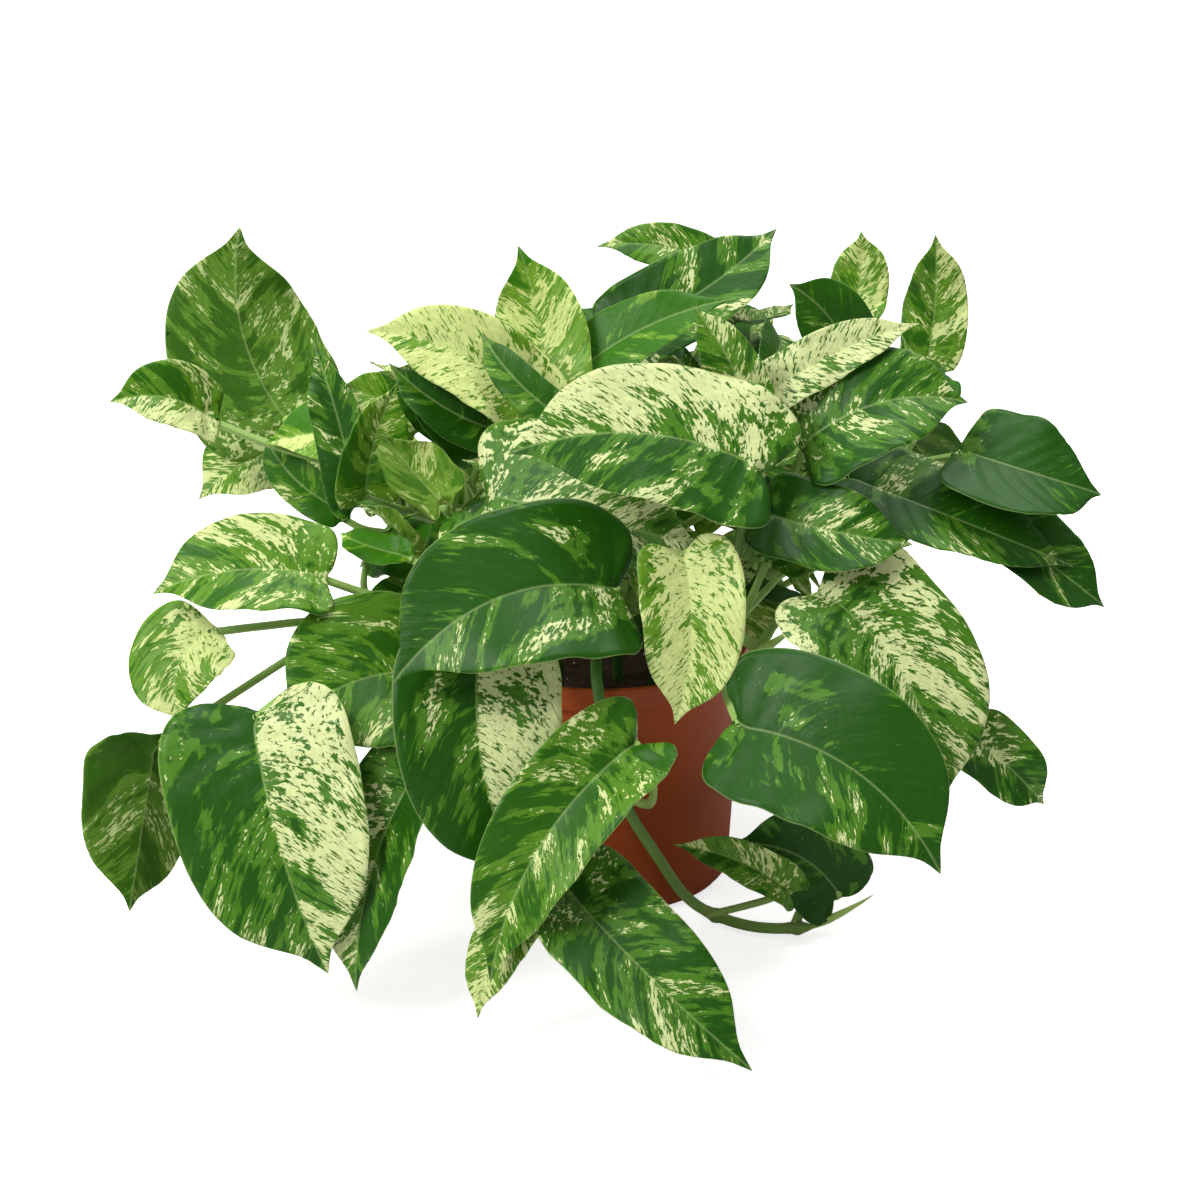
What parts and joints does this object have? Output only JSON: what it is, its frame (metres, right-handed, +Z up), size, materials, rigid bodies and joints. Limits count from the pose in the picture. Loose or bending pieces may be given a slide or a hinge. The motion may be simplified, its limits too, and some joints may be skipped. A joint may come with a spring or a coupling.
{
  "type": "potted pothos plant",
  "caption": "Bushy trailing foliage plant with heart-shaped variegated leaves on long stalks, growing from soil in a round tapered plastic grower pot.",
  "frame": {"origin": "centre of the pot's foot, on the surface that it stands on", "axes": "+Z up, +X to the right and -Y towards the front, where the trailing vine comes over the rim"},
  "size_m": [0.4951, 0.4269, 0.329],
  "materials": {
    "pot": "matte",
    "soil": "matte",
    "stem": "satin",
    "leaf": "satin"
  },
  "bodies": {
    "root": {"pot": "pot", "soil": "soil", "vine_centre": "stem", "vine_left": "stem", "vine_trailing": "stem", "vine_front": "stem", "vine_front_right": "stem", "vine_right": "stem", "vine_back": "stem", "vine_left_back": "stem", "leaf_centre_1": "leaf", "leaf_centre_2": "leaf", "leaf_centre_3": "leaf", "leaf_centre_4": "leaf", "leaf_centre_5": "leaf", "leaf_centre_6": "leaf", "leaf_centre_7": "leaf", "leaf_left_1": "leaf", "leaf_left_2": "leaf", "leaf_left_3": "leaf", "leaf_left_4": "leaf", "leaf_left_5": "leaf", "leaf_trailing_1": "leaf", "leaf_trailing_2": "leaf", "leaf_trailing_3": "leaf", "leaf_front_1": "leaf", "leaf_front_2": "leaf", "leaf_front_3": "leaf", "leaf_front_4": "leaf", "leaf_front_right_1": "leaf", "leaf_front_right_2": "leaf", "leaf_right_1": "leaf", "leaf_right_2": "leaf", "leaf_right_3": "leaf", "leaf_right_4": "leaf", "leaf_right_5": "leaf", "leaf_right_6": "leaf", "leaf_right_7": "leaf", "leaf_back_1": "leaf", "leaf_back_2": "leaf", "leaf_back_3": "leaf", "leaf_back_4": "leaf", "leaf_back_5": "leaf", "leaf_back_6": "leaf", "leaf_back_7": "leaf", "leaf_back_8": "leaf", "leaf_back_9": "leaf", "leaf_back_10": "leaf", "leaf_back_11": "leaf", "leaf_back_12": "leaf", "leaf_back_13": "leaf", "leaf_left_back_1": "leaf", "leaf_left_back_2": "leaf", "leaf_left_back_3": "leaf", "leaf_left_back_4": "leaf", "leaf_left_back_5": "leaf", "leaf_left_back_6": "leaf", "leaf_left_back_7": "leaf", "leaf_left_back_8": "leaf", "leaf_left_back_9": "leaf"}
  },
  "joints": []
}
